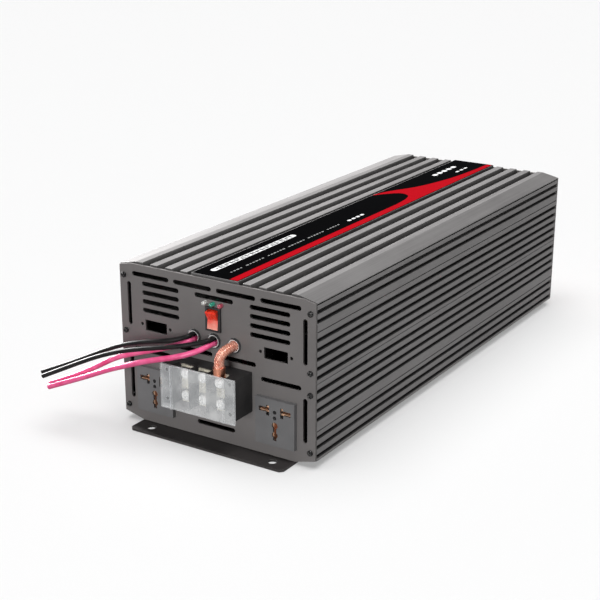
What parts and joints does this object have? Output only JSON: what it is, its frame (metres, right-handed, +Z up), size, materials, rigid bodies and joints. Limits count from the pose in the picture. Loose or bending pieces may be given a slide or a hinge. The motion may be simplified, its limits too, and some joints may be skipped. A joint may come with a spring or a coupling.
{
  "type": "power inverter",
  "caption": "Ribbed aluminium power inverter with mains sockets, terminal block and rocker switch at one end, a guarded fan and battery posts at the other, on bolt-down feet.",
  "frame": {"origin": "on the ground plane, midway between the four foot mounting holes", "axes": "+Z up, -Y out of the mains panel, +Y out of the battery panel, +X to the right seen from the mains panel"},
  "size_m": [0.2544, 0.5809, 0.1473],
  "materials": {
    "graphite": "satin anodised extrusion",
    "panel_coat": "fine satin powder coat",
    "foot_coat": "satin black coat",
    "black_screw": "black oxide",
    "bright_screw": "bright zinc",
    "guard_wire": "polished",
    "label_film": "gloss printed film",
    "black_plastic": "moulded",
    "gloss_black": "polished moulding",
    "gloss_red": "polished moulding",
    "rocker_red": "translucent moulding",
    "socket_grey": "moulded",
    "clear_cover": "clear moulding",
    "lamp_clear": "clear lens",
    "lamp_green": "tinted lens",
    "lamp_red": "tinted lens",
    "grommet_rubber": "smooth",
    "lead_black": "cable jacket",
    "lead_red": "cable jacket",
    "copper": "tinned copper",
    "brass": "turned",
    "zinc": "zinc plated",
    "board_green": "solder mask",
    "ferrite": "ground ferrite",
    "tape_yellow": "winding tape",
    "can_sleeve": "shrink sleeve",
    "epoxy": "moulded",
    "hub_film": "printed film"
  },
  "bodies": {
    "chassis": {"upper_shell": "graphite", "lower_shell": "graphite", "front_panel": "panel_coat", "rear_panel": "panel_coat", "front_foot": "foot_coat", "rear_foot": "foot_coat", "foot_screws": "black_screw", "panel_screws": "black_screw", "top_label": "label_film", "switch_housing": "black_plastic", "lamp_clear": "lamp_clear", "lamp_green": "lamp_green", "lamp_red": "lamp_red", "grommet_left": "grommet_rubber", "grommet_middle": "grommet_rubber", "grommet_right": "grommet_rubber", "black_lead_left": "lead_black", "black_lead_middle": "lead_black", "red_lead_left": "lead_red", "red_lead_middle": "lead_red", "copper_lead": "copper", "lead_lug": "copper", "block_base": "black_plastic", "block_contacts": "brass", "block_plates": "zinc", "block_screws": "bright_screw", "block_fixings": "zinc", "socket_left": "socket_grey", "socket_right": "socket_grey", "socket_left_contacts": "brass", "socket_right_contacts": "brass", "fan_frame": "epoxy", "fan_hub_label": "hub_film", "fan_leads": "lead_red", "fan_guard": "guard_wire", "guard_screws": "bright_screw", "guard_nuts": "zinc", "red_post_bases": "gloss_red", "black_post_bases": "gloss_black", "post_studs": "brass", "post_insulators": "black_plastic", "post_nuts": "brass", "bus_straps": "copper", "main_board": "board_green", "transformer_cores": "ferrite", "transformer_windings": "tape_yellow", "capacitors": "can_sleeve", "power_devices": "epoxy", "clamp_bars": "zinc"},
    "fan_rotor": {"fan_rotor": "epoxy"},
    "rocker": {"switch_rocker": "rocker_red"},
    "block_cover": {"block_cover": "clear_cover"},
    "red_washer_upper": {"red_washer_upper": "zinc"},
    "red_cap_upper": {"red_cap_upper": "gloss_red"},
    "red_washer_lower": {"red_washer_lower": "zinc"},
    "red_cap_lower": {"red_cap_lower": "gloss_red"},
    "black_washer_upper": {"black_washer_upper": "zinc"},
    "black_cap_upper": {"black_cap_upper": "gloss_black"},
    "black_washer_lower": {"black_washer_lower": "zinc"},
    "black_cap_lower": {"black_cap_lower": "gloss_black"}
  },
  "joints": [
    {"name": "fan_spin", "type": "hinge", "parent": "chassis", "child": "fan_rotor", "pos_m": [0, 0.229, 0.075], "axis": [0, 1, 0], "continuous": true},
    {"name": "rocker_tilt", "type": "hinge", "parent": "chassis", "child": "rocker", "pos_m": [0, -0.2434, 0.1112], "axis": [1, 0, 0], "range_deg": [-20, 0]},
    {"name": "cover_lift", "type": "slide", "parent": "chassis", "child": "block_cover", "axis": [0, -1, 0], "range_m": [0, 0.04]},
    {"name": "red_washer_upper_slide", "type": "slide", "parent": "chassis", "child": "red_washer_upper", "axis": [0, 1, 0], "range_m": [0, 0.0125]},
    {"name": "red_cap_upper_turn", "type": "hinge", "parent": "red_washer_upper", "child": "red_cap_upper", "pos_m": [0.075, 0.26, 0.087], "axis": [0, 1, 0], "range_deg": [0, 3420]},
    {"name": "red_washer_lower_slide", "type": "slide", "parent": "chassis", "child": "red_washer_lower", "axis": [0, 1, 0], "range_m": [0, 0.0125]},
    {"name": "red_cap_lower_turn", "type": "hinge", "parent": "red_washer_lower", "child": "red_cap_lower", "pos_m": [0.075, 0.26, 0.06], "axis": [0, 1, 0], "range_deg": [0, 3420]},
    {"name": "black_washer_upper_slide", "type": "slide", "parent": "chassis", "child": "black_washer_upper", "axis": [0, 1, 0], "range_m": [0, 0.0125]},
    {"name": "black_cap_upper_turn", "type": "hinge", "parent": "black_washer_upper", "child": "black_cap_upper", "pos_m": [-0.075, 0.26, 0.087], "axis": [0, 1, 0], "range_deg": [0, 3420]},
    {"name": "black_washer_lower_slide", "type": "slide", "parent": "chassis", "child": "black_washer_lower", "axis": [0, 1, 0], "range_m": [0, 0.0125]},
    {"name": "black_cap_lower_turn", "type": "hinge", "parent": "black_washer_lower", "child": "black_cap_lower", "pos_m": [-0.075, 0.26, 0.06], "axis": [0, 1, 0], "range_deg": [0, 3420]}
  ],
  "couplings": [
    {"joint": "red_washer_upper_slide", "follows": "red_cap_upper_turn", "m_per_rad": 0.00019894},
    {"joint": "red_washer_lower_slide", "follows": "red_cap_lower_turn", "m_per_rad": 0.00019894},
    {"joint": "black_washer_upper_slide", "follows": "black_cap_upper_turn", "m_per_rad": 0.00019894},
    {"joint": "black_washer_lower_slide", "follows": "black_cap_lower_turn", "m_per_rad": 0.00019894}
  ]
}
